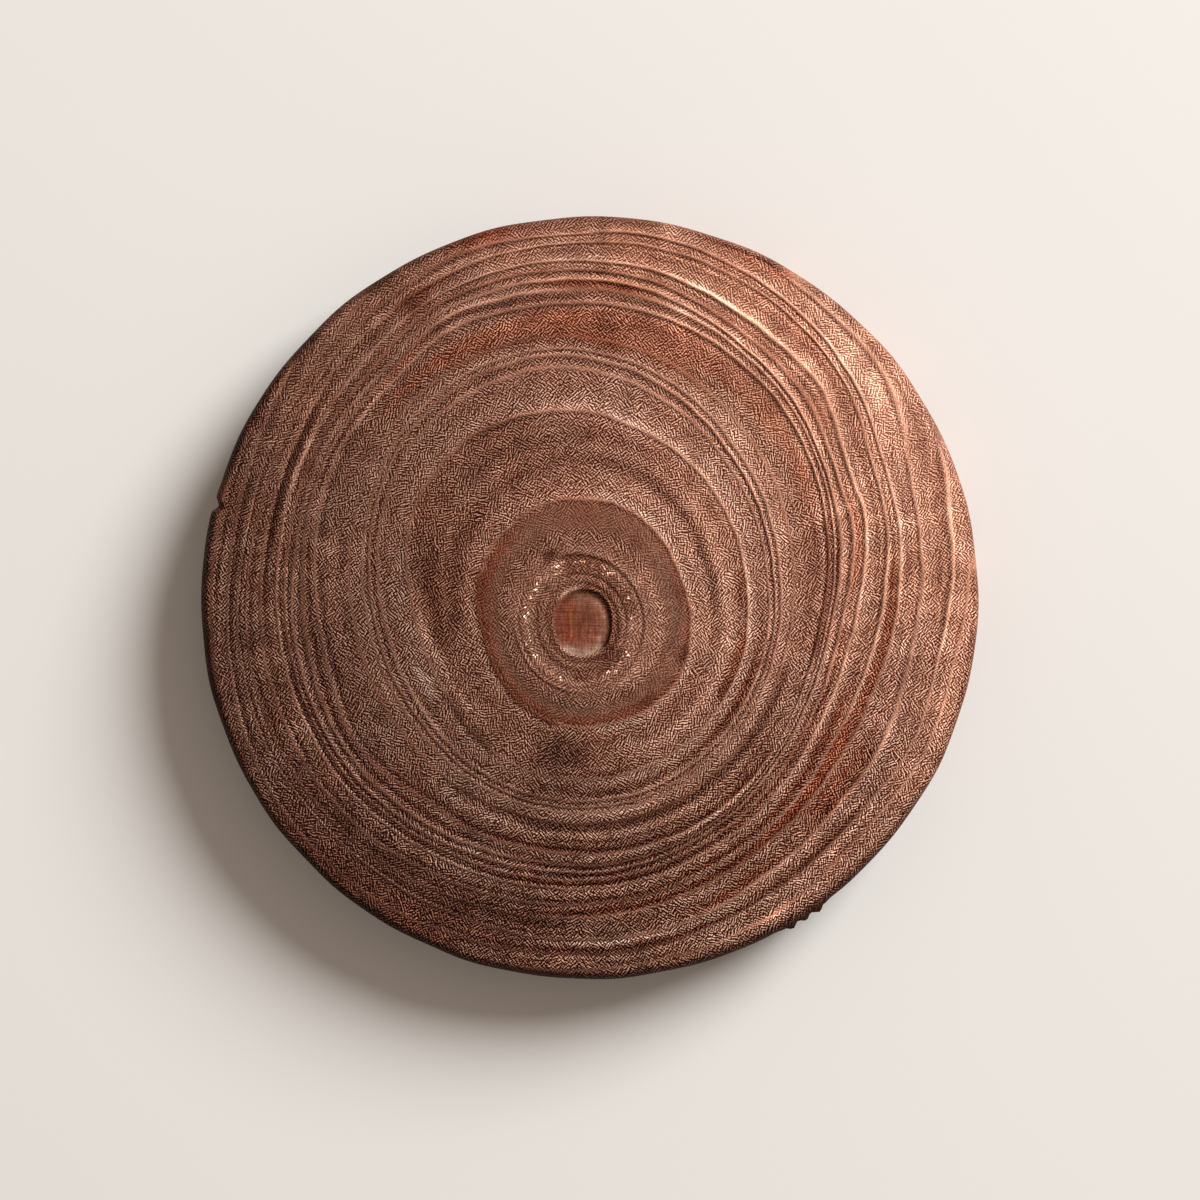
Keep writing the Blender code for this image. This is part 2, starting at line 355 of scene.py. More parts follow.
# Each bend: ring, width across the rings, direction, width in degrees, shift outward
BENDS = (
    (76.0, 4.0, 17.0, 10.0, 0.8), (76.0, 4.0, 30.0, 9.0, -0.4), (78.0, 3.0, 45.0, 9.0, 1.0),
    (74.0, 4.0, 62.0, 10.0, -0.6), (74.0, 4.0, 93.0, 20.0, 0.6), (70.0, 5.0, 115.0, 9.0, 1.0),
    (70.0, 5.0, 129.0, 11.0, -1.2), (70.0, 6.0, 151.0, 12.0, 0.7), (68.0, 4.0, 178.0, 14.0, -0.8),
    (67.0, 3.0, 207.0, 10.0, 1.0), (66.0, 3.0, 231.0, 11.0, -1.3), (76.0, 4.0, 108.0, 14.0, 0.5),
    (76.0, 4.0, 140.0, 20.0, -0.7), (83.0, 3.5, 29.0, 11.0, -1.4), (83.0, 4.0, 45.0, 10.0, 0.5),
    (84.0, 3.5, 93.0, 9.0, -1.6), (85.0, 3.0, 120.0, 18.0, 0.6), (82.0, 3.0, 133.0, 12.0, 0.6),
    (85.0, 3.0, 162.0, 12.0, -0.7), (90.0, 4.0, 20.0, 10.0, -0.8), (91.0, 4.0, 41.0, 11.0, 1.4),
    (89.0, 3.0, 138.0, 14.0, -1.2), (89.5, 2.5, 164.0, 7.0, -0.8), (91.0, 3.0, 180.0, 9.0, 0.7),
    (89.0, 3.0, 219.0, 15.0, -1.4), (90.0, 3.0, 303.0, 14.0, -0.7), (91.0, 5.0, 339.0, 14.0, 1.3),
    (95.0, 4.0, 30.0, 12.0, 0.7), (95.0, 3.0, 279.0, 9.0, 0.8), (95.0, 3.0, 302.0, 14.0, -0.5),
    (96.0, 4.0, 340.0, 11.0, 1.5), (99.0, 3.0, 320.0, 7.0, -0.4), (99.0, 3.0, 340.0, 12.0, 0.9),
    (102.0, 2.0, 338.0, 12.0, 1.2),
)


def wander(ring, direction):
    """How far a ring line strays inward as it goes round, in small waves and in single bends."""
    stray = np.zeros_like(ring)
    for waves, amount, twist in WANDER:
        stray = stray + amount * np.cos(waves * direction + twist * ring + WANDER_PHASE * waves)
    stray *= smooth_step((ring - WANDER_START) / WANDER_RUN)
    for middle, ring_width, towards, turn_width, shift in BENDS:
        across = hump(ring - middle, BEND_REACH * ring_width)
        bend = across * hump(turn_from(direction, towards), BEND_TURN * turn_width)
        stray = stray - shift * bend
    return stray


def ridge_height(ring, direction):
    """Height of the ridges and depth of their grooves."""
    height = np.zeros_like(ring)
    for radius, crest, groove, towards, evenness in RIDGES:
        facing = 0.5 + 0.5 * np.cos(direction - math.radians(towards))
        strength = evenness + (1.0 - evenness) * facing
        height += strength * crest * hump(ring - radius, RIDGE_HALF_WIDTH)
        height -= strength * groove * hump(ring - radius + GROOVE_SET_IN, RIDGE_HALF_WIDTH)
    return height


true_rings = face_rings + wander(face_rings, directions)
face_height = THICKNESS - FACE_DROP * (face_reach / rim) ** 2
for radius, drop in TERRACES:
    face_height -= drop * smooth_step((true_rings - radius) / TERRACE_RUN)
fade = smooth_step((rim - face_reach - RIM_ROUND) / RIM_FADE)
face_height += fade * ridge_height(true_rings, directions)
squash = 1.0 + PITH_SQUASH * np.cos(2.0 * directions) + PITH_CORNERS * np.cos(4.0 * directions)
from_pith = face_reach * squash
wall = smooth_step((from_pith - PITH_FLOOR_RADIUS) / (PITH_WALL_RADIUS - PITH_FLOOR_RADIUS))
face_height += PITH_LIP * hump(from_pith - PITH_WALL_RADIUS, RIDGE_HALF_WIDTH) - PITH_DEPTH * (1.0 - wall)
print("face between", round(face_height.min(), 2), "and", round(face_height.max(), 2), "mm high")

# %% [markdown]
# ## The side and the sawn underside
#
# The rim is rounded over, the side stands nearly upright, and its foot turns in to the underside.
# At the lower right a scrap of dark bark is left on the side, with a ragged edge. The side is a
# few more rows of the same sheet, so that nothing has to be joined on.

# %% Rows of the side and the underside
SIDE_BULGE_HEIGHT = 14.0
SIDE_FOOT_INSET = 0.7
SIDE_FOOT_HEIGHT = 2.2
UNDERSIDE_INSET = 2.0
BARK_HALF_WIDTH = 5.0
BARK_PROUD = 1.5
BARK_TOOTH = 2.4
BARK_BOTTOM = 3.0
BARK_TOP = 18.5
BARK_FADE = 2.0
BARK_EVEN = 0.65
ROUND_ROWS = 8
ROUND_POWER = 1.2
FOOT_POWER = 1.5
SIDE_ROWS = (0.25, 0.5, 0.75, 1.0)
ARRIS_HEIGHT_SHARE = 0.35
UNDERSIDE_ROWS = (0.8, 0.6, 0.4, 0.2, 0.0)


def bark_proud(direction, height):
    """How far the ragged scrap of bark stands out of the side."""
    offset = turn_from(direction, BARK_DIRECTION)
    body = smooth_step((BARK_HALF_WIDTH - np.abs(offset)) / BARK_FADE)
    teeth = BARK_EVEN + (1.0 - BARK_EVEN) * np.cos(2.0 * math.pi * offset / BARK_TOOTH)
    inside = (height > BARK_BOTTOM) & (height < BARK_TOP)
    return BARK_PROUD * body * teeth * inside


edge_height = face_height[-1]
side_reach = []
side_height = []
for row in range(1, ROUND_ROWS + 1):
    turn = 0.5 * math.pi * row / ROUND_ROWS
    side_reach.append(rim - RIM_ROUND * (1.0 - math.sin(turn)))
    fall = (1.0 - math.cos(turn)) ** ROUND_POWER
    side_height.append(edge_height - (edge_height - SIDE_BULGE_HEIGHT) * fall)
for share in SIDE_ROWS:
    side_reach.append(rim - SIDE_FOOT_INSET * share ** FOOT_POWER)
    level = SIDE_BULGE_HEIGHT - (SIDE_BULGE_HEIGHT - SIDE_FOOT_HEIGHT) * share
    side_height.append(np.full_like(rim, level))
side_reach.append(rim - 0.5 * UNDERSIDE_INSET)
side_height.append(np.full_like(rim, ARRIS_HEIGHT_SHARE * SIDE_FOOT_HEIGHT))
side_reach.append(rim - UNDERSIDE_INSET)
side_height.append(np.zeros_like(rim))
side_height = np.array(side_height)
side_reach = np.array(side_reach) + bark_proud(directions, side_height)

under_rings = np.array(UNDERSIDE_ROWS)[:, None] * edge_ring[None, :]
under_reach = ring_reach(under_rings, directions)
under_reach *= (rim - UNDERSIDE_INSET) / edge_reach
reach = np.vstack([face_reach, side_reach, under_reach])
height = np.vstack([face_height, side_height, np.zeros_like(under_reach)])
side_rings = np.broadcast_to(edge_ring, side_reach.shape)
rings = np.vstack([true_rings, side_rings, under_rings])
face_count, side_count, under_count = len(face_reach), len(side_reach), len(under_reach)
print("rows: face", face_count, "side", side_count, "underside", under_count)

# %% [markdown]
# ## Tone and stain
# ## Tone, stain and painted light
# On the real slice, colour follows the rings: there are pale and dark lines, a red ring round the
# heart, red patches above it, and dark streaks below. Some of the marks are painted light and shade
# instead: at the pith's hollow, at the rim, at two steps of the face, and in part the dark of the
# grooves. We paint by formula, on a log scale, so that +0.7 means twice as bright. Two values go on
# every point: tone (light or dark) and red.
# First a profile from the heart outwards, then named streaks that each follow a ring for part of
# a turn, and last the thin pale crests of the ridges. Values on the points follow the rings
# exactly, which a flat picture laid over the slice wouldn't do.

# %% Tone across the rings, the same all round
# Each entry: ring, tone, red
ACROSS = (
    (0.0, -0.24, 0.26), (3.0, -0.12, 0.26), (5.5, 0.16, 0.10), (6.5, 0.24, 0.05), (8.5, -0.16, 0.06),
    (10.0, 0.00, 0.00), (12.0, 0.13, -0.01), (14.0, 0.32, -0.02), (16.0, 0.14, -0.01), (18.0, 0.17, -0.04),
    (20.0, -0.07, 0.02), (21.5, -0.14, 0.00), (24.0, 0.03, -0.03), (27.0, -0.13, 0.09), (28.3, 0.17, 0.04),
    (30.0, 0.16, 0.05),
    (32.0, 0.00, 0.05), (34.5, -0.08, 0.03), (38.0, 0.00, 0.03), (43.5, 0.00, 0.03), (45.6, 0.28, -0.08),
    (48.0, 0.07, -0.03), (50.0, -0.07, 0.00), (51.5, 0.15, -0.05), (53.5, 0.10, -0.04), (56.2, 0.16, -0.06),
    (58.0, 0.11, -0.02), (60.2, -0.10, -0.02), (63.0, 0.00, 0.00), (66.0, -0.12, 0.00), (67.2, 0.05, -0.02),
    (68.0, 0.18, -0.05), (70.0, 0.09, -0.03), (72.0, 0.18, -0.04), (74.0, -0.04, 0.02), (75.4, -0.10, 0.04),
    (76.5, 0.20, -0.04), (78.5, 0.10, 0.00), (80.3, -0.13, 0.05), (82.5, 0.09, -0.02), (84.0, -0.10, 0.05),
    (86.0, 0.10, -0.02), (88.0, -0.12, 0.04), (90.2, 0.15, -0.04), (93.0, -0.08, 0.02), (95.0, 0.12, -0.03),
    (97.0, 0.05, 0.05), (98.5, 0.16, 0.02),
)
profile = np.array(ACROSS)
tone = np.interp(rings, profile[:, 0], profile[:, 1])
red = np.interp(rings, profile[:, 0], profile[:, 2])
print("profile of", len(ACROSS), "rings")

# %% Streaks, painted shade and painted highlights at the pith's wall and at the rim
# Each streak: distance from the pith or in from the rim, half width, start, end, tone, red
# Painted light in the pith's hollow: the first row paints the wall's shadow on the right, the fourth the
# lit wall at the bottom, the fifth its lit edge at the upper left
PITH_EDGE_MARKS_AND_PAINTED_LIGHT = (
    (7.9, 0.40, -65.0, 88.0, -1.50, 0.10),
    (4.8, 2.0, 110.0, 250.0, -0.25, 0.48),
    (7.0, 0.8, 100.0, 212.0, -0.45, 0.35),
    (7.3, 1.3, 222.0, 318.0, 0.95, -0.28),
    (8.3, 0.7, 90.0, 140.0, 1.30, -0.15),
    (6.1, 0.8, 4.0, 72.0, 0.80, 0.05),
    (6.0, 0.7, 300.0, 352.0, 0.55, -0.05),
)
RIM_MARKS_AND_PAINTED_LIGHT = (
    # Painted light at the rim: the third row is a painted highlight along the lit right rim, the last
    # painted shade along the rounded rim at the lower left; the first two draw a dark mark with a pale edge
    # where the rim is chipped
    (1.7, 0.7, 59.0, 74.0, -1.00, 0.10),
    (0.5, 0.9, 56.0, 76.0, 0.25, -0.10),
    (1.2, 1.8, 8.0, 50.0, 0.45, -0.05),
    (1.0, 2.2, 130.0, 330.0, -0.45, 0.05),
)
print(len(PITH_EDGE_MARKS_AND_PAINTED_LIGHT) + len(RIM_MARKS_AND_PAINTED_LIGHT), "streaks at the edges")

# %% Streaks in the inner half
# Each streak: ring at its start, ring at its end, half width, start, end, tone, red
HEART_STREAKS = (
    (13.5, 13.5, 2.4, 0.0, 115.0, -0.25, 0.05),
    (13.0, 13.0, 1.5, 280.0, 335.0, -0.30, 0.05),
    (21.0, 21.0, 1.2, 295.0, 345.0, -0.35, 0.05),
    (12.0, 12.0, 0.5, 125.0, 330.0, -0.30, 0.05),
    (10.0, 10.0, 0.9, -40.0, 90.0, -0.45, 0.10),
    (10.0, 10.0, 1.8, 290.0, 330.0, -0.70, 0.10),
    (12.5, 12.5, 1.0, 30.0, 65.0, -0.50, 0.10),
    (13.5, 13.5, 1.0, 255.0, 285.0, -0.50, 0.10),
    (15.2, 15.2, 1.0, 210.0, 275.0, 0.50, 0.00),
    (16.2, 16.2, 1.0, 60.0, 110.0, -0.50, 0.10),
    (18.0, 18.0, 1.0, 107.0, 123.0, -0.80, 0.10),
    (20.0, 20.0, 2.4, 300.0, 410.0, 0.25, 0.00),
    (18.5, 18.5, 1.0, 290.0, 330.0, 0.50, 0.00),
    (24.0, 24.0, 1.2, 30.0, 120.0, -0.12, 0.05),
    (26.0, 26.0, 1.0, 5.0, 30.0, -0.60, 0.25),
    (26.0, 26.0, 1.2, 285.0, 320.0, -0.70, 0.25),
    (27.0, 27.0, 1.0, 335.0, 350.0, -0.60, 0.15),
    (26.3, 26.3, 1.5, 120.0, 310.0, -0.15, 0.30),
    (25.5, 25.5, 1.6, 182.0, 240.0, 0.02, 0.18),
    (24.5, 24.5, 1.5, -25.0, 50.0, -0.05, -0.12),
    (17.6, 17.6, 0.5, 185.0, 264.0, -0.40, 0.05),
    (9.2, 9.2, 0.9, 275.0, 330.0, -0.60, 0.10),
)
INNER_STREAKS = (
    (36.0, 36.0, 1.6, 62.0, 108.0, -0.30, 0.05),
    (41.0, 41.0, 1.4, 60.0, 104.0, -0.28, 0.05),
    (41.8, 41.8, 1.1, 160.0, 218.0, 0.30, -0.05),
    (49.6, 49.6, 1.2, 262.0, 360.0, -0.45, 0.10),
    (44.2, 44.2, 0.8, 238.0, 292.0, -0.35, 0.05),
    (41.5, 41.5, 3.5, 100.0, 175.0, -0.20, 0.05),
    (43.5, 43.0, 1.2, 172.0, 205.0, 0.45, -0.05),
    (48.5, 48.5, 2.2, 246.0, 275.0, -0.50, 0.05),
    (52.5, 52.5, 1.6, 246.0, 268.0, -0.35, 0.05),
    (32.0, 32.0, 2.5, 243.0, 275.0, -0.35, 0.05),
    # Painted highlight and shade on the first step down: pale on the right, facing the lamp, then dark on
    # the lower left, facing away
    (29.3, 29.3, 1.0, 270.0, 450.0, 0.35, -0.10),
    (28.0, 28.0, 0.8, 150.0, 260.0, -0.60, 0.30),
    (30.0, 30.0, 1.0, 150.0, 260.0, 0.20, 0.00),
    (32.5, 32.5, 1.8, -20.0, 90.0, 0.30, 0.00),
    (36.0, 36.0, 1.3, 0.0, 75.0, -0.50, 0.05),
    (34.5, 34.5, 1.3, 100.0, 130.0, -0.40, 0.05),
    (34.0, 34.0, 1.8, 125.0, 190.0, -0.45, 0.10),
    (39.0, 39.0, 2.4, -75.0, 60.0, 0.35, 0.00),
    (39.5, 39.5, 1.5, 85.0, 135.0, -0.40, 0.00),
    (39.3, 39.3, 2.6, 148.0, 196.0, -0.60, 0.15),
    (37.0, 37.0, 4.5, 246.0, 278.0, -0.70, 0.05),
    (41.5, 41.5, 1.2, 245.0, 265.0, -0.60, 0.05),
    (43.0, 43.0, 1.3, 326.0, 347.0, -0.80, 0.30),
    (43.0, 43.0, 1.3, 3.0, 20.0, -0.70, 0.30),
    (43.4, 43.0, 0.6, 168.0, 198.0, 0.70, 0.00),
    (42.8, 40.2, 0.6, 196.0, 227.0, 0.45, 0.00),
    (43.6, 43.6, 0.5, 249.0, 259.0, 0.60, 0.00),
    (44.5, 44.5, 1.0, 100.0, 125.0, -0.50, 0.05),
    (45.0, 45.0, 1.2, 205.0, 240.0, -0.60, 0.05),
    # Painted highlight on the second step down, where it faces the lamp on the right
    (45.3, 45.3, 0.6, -15.0, 90.0, 0.45, -0.10),
    (45.3, 45.3, 0.7, 88.0, 115.0, 0.35, 0.00),
    (45.8, 45.8, 0.5, 249.0, 259.0, 0.35, 0.00),
    (48.0, 48.0, 1.2, 20.0, 60.0, 0.35, -0.15),
    (48.0, 48.0, 1.2, 190.0, 212.0, 0.50, -0.20),
    (47.0, 47.0, 1.2, 285.0, 300.0, 0.40, -0.15),
    (50.0, 50.0, 1.0, -10.0, 10.0, -0.40, 0.10),
    (50.0, 50.0, 1.2, 270.0, 286.0, -0.80, 0.10),
    (50.0, 50.0, 1.3, 310.0, 352.0, -0.85, 0.30),
    (43.5, 43.5, 1.2, 335.0, 362.0, -0.50, 0.45),
    (43.2, 43.2, 0.5, 238.0, 300.0, -0.35, 0.05),
)
print(len(HEART_STREAKS) + len(INNER_STREAKS), "streaks in the inner half")

# %% Streaks in the outer half, written the same way
MIDDLE_STREAKS = (
    (57.6, 57.6, 1.2, 66.0, 108.0, -0.25, 0.05),
    (62.0, 62.0, 1.4, 222.0, 285.0, 0.35, -0.05),
    (59.2, 59.2, 0.8, 235.0, 305.0, -0.55, 0.05),
    (69.2, 69.2, 0.5, -12.0, 255.0, -0.55, 0.10),
    (72.5, 72.5, 0.5, 72.0, 104.0, 0.35, 0.05),
    (65.2, 65.2, 0.4, 25.0, 85.0, -0.50, 0.05),
    (64.3, 64.3, 0.5, 250.0, 345.0, -0.50, 0.05),
    (70.0, 70.0, 0.35, 250.0, 335.0, -0.90, 0.10),
    (71.3, 71.3, 0.35, 250.0, 335.0, -0.90, 0.10),
    (75.8, 75.8, 0.7, 330.0, 362.0, -0.30, 0.35),
    (77.2, 77.2, 0.5, -10.0, 80.0, 0.45, -0.05),
    (52.0, 52.0, 1.0, 195.0, 225.0, 0.50, -0.05),
    (52.0, 52.0, 1.0, 275.0, 315.0, 0.40, -0.05),
    (53.0, 53.0, 0.5, 0.0, 359.9, -0.20, 0.00),
    (57.0, 57.0, 1.0, 190.0, 210.0, 0.50, -0.05),
    (56.5, 56.5, 0.8, 265.0, 300.0, 0.60, -0.05),
    (58.0, 58.0, 1.0, 0.0, 60.0, 0.25, 0.00),
    (60.3, 60.3, 1.5, 244.0, 352.0, -0.80, 0.05),
    (60.5, 60.5, 1.0, 75.0, 90.0, -0.35, 0.00),
    (60.5, 60.5, 1.0, 115.0, 130.0, -0.30, 0.00),
    (59.0, 59.0, 1.0, 225.0, 250.0, -0.40, 0.00),
    (63.5, 63.5, 1.8, -10.0, 45.0, -0.30, 0.05),
    (63.0, 63.0, 1.5, 155.0, 185.0, 0.25, 0.00),
    (62.5, 62.5, 1.3, 262.0, 310.0, 0.35, 0.00),
    (60.5, 60.5, 2.6, 60.0, 122.0, -0.30, 0.22),
    (64.5, 64.5, 2.8, 40.0, 108.0, -0.28, 0.24),
    (63.0, 63.0, 2.2, 84.0, 138.0, -0.18, 0.32),
    (60.5, 60.5, 4.5, 81.0, 89.0, -0.60, 0.25),
    (79.5, 79.5, 3.5, 114.0, 121.0, -0.50, 0.20),
    (65.0, 65.0, 1.5, 20.0, 80.0, -0.10, 0.15),
    (66.8, 66.8, 1.0, 225.0, 330.0, -0.80, 0.20),
    (68.0, 68.0, 1.4, -15.0, 30.0, -0.50, 0.10),
    (66.0, 66.0, 1.0, 175.0, 200.0, -0.40, 0.05),
    (68.3, 68.3, 0.6, 265.0, 325.0, 0.60, -0.05),
    (69.0, 69.0, 0.7, 150.0, 166.0, 0.50, 0.00),
    (69.3, 69.3, 1.0, 115.0, 135.0, 0.10, 0.25),
    (71.3, 71.3, 1.0, 74.0, 100.0, -0.70, 0.35),
    (71.3, 71.3, 1.0, 0.0, 25.0, -0.50, 0.05),
    (73.0, 73.0, 0.7, 255.0, 330.0, -0.70, 0.10),
    (75.6, 75.6, 0.8, 245.0, 358.0, -0.85, 0.25),
    (75.8, 75.8, 0.8, 0.0, 30.0, -0.20, 0.30),
    (77.2, 77.2, 0.8, 137.0, 165.0, 0.90, -0.05),
    (77.2, 77.2, 0.8, 185.0, 212.0, 0.50, 0.00),
    (77.5, 77.5, 0.8, 260.0, 310.0, 0.45, 0.00),
    (76.5, 76.5, 0.8, -60.0, 60.0, 0.30, 0.00),
    (67.0, 67.0, 0.8, 210.0, 240.0, -0.55, 0.10),
    (59.6, 59.6, 1.2, 78.0, 100.0, -0.35, 0.35),
)
OUTER_STREAKS = (
    (91.0, 91.0, 6.0, 235.0, 268.0, -0.35, 0.05),
    (81.2, 81.2, 1.2, 252.0, 296.0, -0.45, 0.05),
    (89.6, 89.6, 0.9, 32.0, 62.0, -0.25, 0.05),
    (94.5, 95.5, 0.7, 8.0, 40.0, 0.55, -0.05),
    (90.5, 90.5, 0.6, 28.0, 50.0, 0.50, -0.05),
    (98.5, 98.5, 0.7, 5.0, 25.0, 0.50, -0.05),
    (80.0, 80.0, 0.9, 310.0, 350.0, -0.60, 0.45),
    (88.0, 88.0, 2.0, 315.0, 338.0, -0.45, 0.45),
    (88.0, 88.0, 1.4, 92.0, 108.0, -0.15, 0.40),
    (89.0, 89.0, 1.6, 48.0, 78.0, -0.10, 0.25),
    (96.5, 97.8, 0.5, 132.0, 188.0, -0.60, 0.05),
    (84.0, 84.0, 3.0, 205.0, 268.0, -0.35, 0.05),
    (93.0, 93.0, 3.0, 205.0, 262.0, -0.35, 0.15),
    (80.0, 80.0, 1.6, 134.0, 174.0, -0.90, 0.05),
    (80.5, 80.5, 1.0, 283.0, 342.0, -0.80, 0.35),
    (80.0, 80.0, 1.0, 0.0, 50.0, -0.30, 0.05),
    (81.0, 81.0, 1.2, 108.0, 122.0, -0.50, 0.25),
    (82.0, 82.0, 1.0, 135.0, 180.0, 0.30, 0.00),
    (84.0, 84.0, 0.9, 255.0, 380.0, -0.75, 0.40),
    (85.0, 85.0, 1.0, 0.0, 70.0, 0.30, -0.05),
    (86.5, 86.5, 1.0, 185.0, 205.0, 0.50, 0.00),
    (86.0, 86.0, 1.5, 240.0, 270.0, -0.70, 0.10),
    (87.0, 87.0, 1.5, 98.0, 112.0, -0.10, 0.40),
    (88.0, 88.0, 1.2, 215.0, 260.0, -0.50, 0.05),
    (88.7, 88.7, 1.0, 285.0, 317.0, -0.20, 0.35),
    (88.5, 88.5, 1.0, 313.0, 342.0, -0.70, 0.25),
    (88.5, 88.5, 1.0, 158.0, 172.0, -0.50, 0.05),
    (91.0, 91.0, 1.2, 260.0, 292.0, 0.80, -0.05),
    (90.0, 90.0, 0.8, 155.0, 170.0, 0.60, 0.00),
    (91.0, 91.0, 1.0, 290.0, 322.0, 0.30, 0.00),
    (90.5, 90.5, 1.0, 45.0, 60.0, 0.30, -0.20),
    (92.5, 92.5, 1.0, 153.0, 177.0, -0.80, 0.05),
    (94.0, 94.0, 1.2, 250.0, 332.0, -0.60, 0.20),
    (96.0, 96.0, 1.0, 255.0, 332.0, 0.30, 0.05),
    (96.0, 96.0, 1.6, 208.0, 252.0, -0.60, 0.25),
    (98.0, 98.0, 1.2, 212.0, 240.0, -0.75, 0.20),
    (99.0, 99.0, 0.9, 293.0, 312.0, 0.70, 0.20),
    (88.0, 88.0, 4.5, 15.0, 65.0, 0.12, -0.05),
    (83.3, 83.3, 0.5, 98.0, 128.0, 0.30, 0.00),
    (92.8, 92.8, 1.1, 150.0, 206.0, -0.55, 0.05),
    (95.2, 95.2, 0.6, 281.0, 328.0, 0.35, -0.05),
    (85.5, 85.5, 1.0, 238.0, 270.0, -0.60, 0.05),
    (81.8, 81.8, 0.7, 283.0, 344.0, 0.10, -0.10),
    (84.1, 83.0, 1.2, 300.0, 345.0, -0.40, 0.55),
)
print(len(MIDDLE_STREAKS) + len(OUTER_STREAKS), "streaks in the outer half")

# %% Paint the streaks, with the painted light and shade among them
STREAK_CONTRAST = 1.5
STREAK_REACH = 1.6
LONGEST_FADE = 12.0
FADE_SHARE = 0.4


def along(direction, start, end):
    """How far round a streak's way each direction is, from 0 to 1, and its fading at both ends."""
    length = end - start
    past = (np.degrees(direction) - start) % 360.0
    share = past / length
    soft = min(LONGEST_FADE, FADE_SHARE * length)
    window = smooth_step(past / soft) * smooth_step((length - past) / soft)
    return np.clip(share, 0.0, 1.0), np.where(past < length, window, 0.0)


STREAKS = HEART_STREAKS + INNER_STREAKS + MIDDLE_STREAKS + OUTER_STREAKS
for first, last, half_width, start, end, light, reddish in STREAKS:
    share, window = along(directions, start, end)
    middle = first + (last - first) * share
    cover = window * hump(rings - middle, STREAK_REACH * half_width)
    tone += cover * (light - tone)
    red += cover * (reddish - red)
tone *= STREAK_CONTRAST
# The pith's and the rim's tables paint shade and highlights as well as the wood's own marks
for places, edge_marks_and_light in ((reach * squash, PITH_EDGE_MARKS_AND_PAINTED_LIGHT), (rim - reach, RIM_MARKS_AND_PAINTED_LIGHT)):
    for middle, half_width, start, end, light, reddish in edge_marks_and_light:
        window = along(directions, start, end)[1]
        cover = window * hump(places - middle, STREAK_REACH * half_width)
        cover[face_count + side_count:] = 0.0
        tone += cover * (light - tone)
        red += cover * (reddish - red)
print(len(STREAKS), "streaks")

# %% Thin pale crests and dark grooves, the grooves partly painted shade
CREST_LIGHT = 0.62
CREST_SET_OUT = 0.1
CREST_HALF_WIDTH = 0.55
# Each groove is darkened: partly the late wood's own dark band, partly painted shade in the groove
GROOVE_DARK_AND_SHADE = 0.25
GROOVE_SHADE_SET_IN = 0.75
GROOVE_HALF_WIDTH = 0.6
BARE_HALF_WIDTH = 0.65
FIRST_PALE_RIDGE = 3
OUTER_RING = 60.0
OUTER_BOOST = 1.3
SIDE_DARK = 0.75

crest_line = np.zeros_like(tone)
for ridge in RIDGES[FIRST_PALE_RIDGE:]:
    radius = ridge[0]
    strength = 0.65 + 0.25 * np.cos(3.0 * directions + radius)
    strength = strength + 0.2 * np.cos(8.0 * directions - 2.0 * radius)
    strength = strength * (OUTER_BOOST if radius > OUTER_RING else 1.0)
    crest_line = np.maximum(crest_line, hump(rings - radius, BARE_HALF_WIDTH))
    tone += strength * CREST_LIGHT * hump(rings - radius - CREST_SET_OUT, CREST_HALF_WIDTH)
    tone -= strength * GROOVE_DARK_AND_SHADE * hump(rings - radius + GROOVE_SHADE_SET_IN, GROOVE_HALF_WIDTH)
side_rows = np.zeros((len(reach), 1))
side_rows[face_count:face_count + side_count] = 1.0
tone -= SIDE_DARK * side_rows
print("tone from", round(tone.min(), 2), "to", round(tone.max(), 2))

# %% [markdown]
# ## Rolling a flat grid into the slice
#
# The mesh starts as a flat grid with one column for each spoke and one row for each ring. Every
# point of the grid is then moved to its place: the sheet is rolled round the pith, so its first
# row shrinks to the middle of the face, its last row to the middle of the underside, and its two
# sides meet along a seam. Merging the doubles closes the seam and both middles.

# %% The grid and its place for every point
total_rows = len(reach)
bpy.ops.object.select_all(action="DESELECT")
bpy.ops.mesh.primitive_grid_add(x_subdivisions=SPOKES, y_subdivisions=total_rows - 1, size=2.0)
disc = bpy.context.object
disc.name = "sawn_disc"
mesh = disc.data
mesh.name = "sawn_disc"
flat = np.empty(len(mesh.vertices) * 3)
mesh.vertices.foreach_get("co", flat)
flat = flat.reshape(-1, 3)
spoke_of = np.rint((flat[:, 0] + 1.0) * 0.5 * SPOKES).astype(int)
row_of = np.rint((flat[:, 1] + 1.0) * 0.5 * (total_rows - 1)).astype(int)

turned = directions[spoke_of]
turned[spoke_of == SPOKES] = 0.0
out = reach[row_of, spoke_of]
out[(row_of == 0) | (row_of == total_rows - 1)] = 0.0
points = np.stack([out * np.cos(turned), out * np.sin(turned), height[row_of, spoke_of]], axis=1)
size = points.max(axis=0) - points.min(axis=0)
low, high = (np.array(corner) / MM for corner in part_box)
points[:, :2] *= ((high - low) / size)[:2]
pith = 0.5 * (low + high)[:2] - 0.5 * (points.max(axis=0) + points.min(axis=0))[:2]
points[:, :2] += pith
mesh.vertices.foreach_set("co", (points * MM).ravel())
mesh.update()
print(len(mesh.vertices), "points, pith at", np.round(pith, 2), "mm, size", np.round(size, 2))

# %% Values that the finish reads, one for each point
SIDE_FADE = 0.6
BARK_MARGIN = 0.8
BARK_ON_SIDE = 0.3


def keep_value(name, values):
    """Store one number for each point under a name."""
    attribute = mesh.attributes.new(name, "FLOAT", "POINT")
    attribute.data.foreach_set("value", values[row_of, spoke_of].astype(np.float32))


